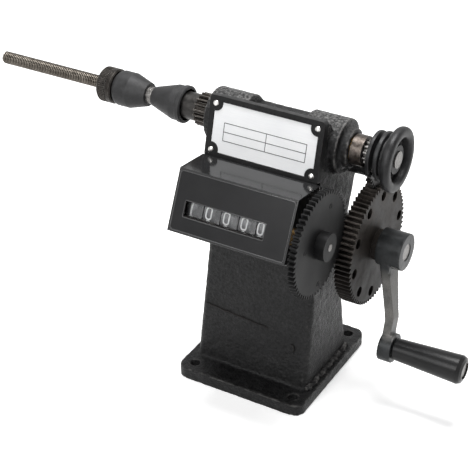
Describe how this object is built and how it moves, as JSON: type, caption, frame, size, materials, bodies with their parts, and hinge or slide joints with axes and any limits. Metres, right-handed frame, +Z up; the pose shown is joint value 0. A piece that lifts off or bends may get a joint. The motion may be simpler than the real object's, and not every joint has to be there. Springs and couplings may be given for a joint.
{
  "type": "wire coil winding machine",
  "caption": "Hand-cranked coil winder: iron stand, geared spindle with threaded rod and clamping cones, belt pulley, and a turns counter driven off the crank gear.",
  "frame": {"origin": "centre of the base's bolt pattern, on the underside of the base plate", "axes": "+Z up, +X along the spindle towards the belt pulley and crank, -Y towards the counter's face"},
  "size_m": [0.3275, 0.1271, 0.1792],
  "materials": {
    "casting_paint": "rough cast black paint",
    "cover_paint": "satin black paint",
    "plate_metal": "brushed",
    "screw_steel": "turned",
    "bronze": "machined",
    "spindle_steel": "ground",
    "rod_steel": "oiled thread",
    "nut_steel": "knurled, oiled",
    "cone_iron": "blackened, matte",
    "hub_iron": "blackened, matte",
    "pinion_steel": "cut teeth, oiled",
    "collar_steel": "ground",
    "pulley_iron": "turned, oiled",
    "gear_iron": "sintered, oiled",
    "arm_paint": "dark blue-grey cast paint",
    "grip_plastic": "gloss black",
    "case_paint": "gloss black",
    "panel_paint": "gloss black",
    "lens_glass": "clear",
    "wheel_plastic": "black with white digits",
    "carry_brass": "cut",
    "counter_gear_plastic": "moulded dark grey"
  },
  "bodies": {
    "frame": {"body_casting": "casting_paint", "front_cover": "cover_paint", "name_plate": "plate_metal", "cover_screws": "screw_steel", "idler_stud": "screw_steel", "left_spindle_bush": "bronze", "right_spindle_bush": "bronze", "left_crank_bush": "bronze", "right_crank_bush": "bronze", "counter_case": "case_paint", "counter_panel": "panel_paint", "counter_lens": "lens_glass", "counter_screws": "screw_steel", "wheel_axle": "spindle_steel", "carry_shaft": "spindle_steel", "input_bush": "bronze"},
    "crank": {"crank_gear": "gear_iron", "crank_shaft": "spindle_steel", "crank_retaining_ring": "screw_steel", "crank_arm": "arm_paint", "crank_set_screw": "screw_steel", "grip_pin": "spindle_steel"},
    "grip": {"crank_grip": "grip_plastic"},
    "spindle": {"spindle_shaft": "spindle_steel", "spindle_hub": "hub_iron", "hub_pinion": "pinion_steel", "winding_rod": "rod_steel", "inner_cone": "cone_iron", "inner_cone_bush": "spindle_steel", "spindle_collar": "collar_steel", "belt_pulley": "pulley_iron", "pulley_set_screw": "screw_steel"},
    "slide_cone": {"outer_cone": "cone_iron", "outer_cone_bush": "spindle_steel", "thrust_washer": "screw_steel"},
    "nut": {"lock_nut": "nut_steel"},
    "idler": {"idler_gear": "pinion_steel"},
    "counter_drive": {"input_shaft": "spindle_steel", "counter_gear": "counter_gear_plastic"},
    "wheel_1": {"digit_wheel_1": "wheel_plastic"},
    "wheel_2": {"digit_wheel_2": "wheel_plastic"},
    "wheel_3": {"digit_wheel_3": "wheel_plastic"},
    "wheel_4": {"digit_wheel_4": "wheel_plastic"},
    "wheel_5": {"digit_wheel_5": "wheel_plastic"},
    "carry_1": {"carry_pinion_1": "carry_brass"},
    "carry_2": {"carry_pinion_2": "carry_brass"},
    "carry_3": {"carry_pinion_3": "carry_brass"},
    "carry_4": {"carry_pinion_4": "carry_brass"}
  },
  "joints": [
    {"name": "crank_spin", "type": "hinge", "parent": "frame", "child": "crank", "pos_m": [0, 0.016, 0.0943], "axis": [1, 0, 0], "continuous": true},
    {"name": "grip_spin", "type": "hinge", "parent": "crank", "child": "grip", "pos_m": [0, -0.00159, 0.03851], "axis": [1, 0, 0], "continuous": true},
    {"name": "spindle_spin", "type": "hinge", "parent": "frame", "child": "spindle", "pos_m": [0, 0.0102, 0.1563], "axis": [1, 0, 0], "continuous": true},
    {"name": "idler_spin", "type": "hinge", "parent": "frame", "child": "idler", "pos_m": [0, 0.02142, 0.14209], "axis": [1, 0, 0], "continuous": true},
    {"name": "counter_drive_spin", "type": "hinge", "parent": "frame", "child": "counter_drive", "pos_m": [0, -0.04308, 0.12394], "axis": [1, 0, 0], "continuous": true},
    {"name": "cone_slide", "type": "slide", "parent": "spindle", "child": "slide_cone", "axis": [-1, 0, 0], "range_m": [0, 0.07]},
    {"name": "nut_turn", "type": "hinge", "parent": "slide_cone", "child": "nut", "pos_m": [-0.1189, 0.0102, 0.1563], "axis": [-1, 0, 0], "range_deg": [0, 20160]},
    {"name": "wheel_1_spin", "type": "hinge", "parent": "frame", "child": "wheel_1", "pos_m": [0, -0.03627, 0.12069], "axis": [1, 0, 0], "continuous": true},
    {"name": "wheel_2_spin", "type": "hinge", "parent": "frame", "child": "wheel_2", "pos_m": [0, -0.03627, 0.12069], "axis": [1, 0, 0], "continuous": true},
    {"name": "wheel_3_spin", "type": "hinge", "parent": "frame", "child": "wheel_3", "pos_m": [0, -0.03627, 0.12069], "axis": [1, 0, 0], "continuous": true},
    {"name": "wheel_4_spin", "type": "hinge", "parent": "frame", "child": "wheel_4", "pos_m": [0, -0.03627, 0.12069], "axis": [1, 0, 0], "continuous": true},
    {"name": "wheel_5_spin", "type": "hinge", "parent": "frame", "child": "wheel_5", "pos_m": [0, -0.03627, 0.12069], "axis": [1, 0, 0], "continuous": true},
    {"name": "carry_1_spin", "type": "hinge", "parent": "frame", "child": "carry_1", "pos_m": [0, -0.02356, 0.12959], "axis": [1, 0, 0], "continuous": true},
    {"name": "carry_2_spin", "type": "hinge", "parent": "frame", "child": "carry_2", "pos_m": [0, -0.02356, 0.12959], "axis": [1, 0, 0], "continuous": true},
    {"name": "carry_3_spin", "type": "hinge", "parent": "frame", "child": "carry_3", "pos_m": [0, -0.02356, 0.12959], "axis": [1, 0, 0], "continuous": true},
    {"name": "carry_4_spin", "type": "hinge", "parent": "frame", "child": "carry_4", "pos_m": [0, -0.02356, 0.12959], "axis": [1, 0, 0], "continuous": true}
  ],
  "couplings": [
    {"joint": "spindle_spin", "follows": "crank_spin", "ratio": 6},
    {"joint": "idler_spin", "follows": "crank_spin", "ratio": -3},
    {"joint": "counter_drive_spin", "follows": "crank_spin", "ratio": -1.2},
    {"joint": "nut_turn", "follows": "cone_slide", "rad_per_m": 5026.5},
    {"joint": "wheel_5_spin", "follows": "crank_spin", "ratio": 0.6},
    {"joint": "wheel_4_spin", "follows": "crank_spin", "ratio": 0.06},
    {"joint": "wheel_3_spin", "follows": "crank_spin", "ratio": 0.006},
    {"joint": "wheel_2_spin", "follows": "crank_spin", "ratio": 0.0006},
    {"joint": "wheel_1_spin", "follows": "crank_spin", "ratio": 0.00006},
    {"joint": "carry_4_spin", "follows": "crank_spin", "ratio": -0.15},
    {"joint": "carry_3_spin", "follows": "crank_spin", "ratio": -0.015},
    {"joint": "carry_2_spin", "follows": "crank_spin", "ratio": -0.0015},
    {"joint": "carry_1_spin", "follows": "crank_spin", "ratio": -0.00015}
  ]
}
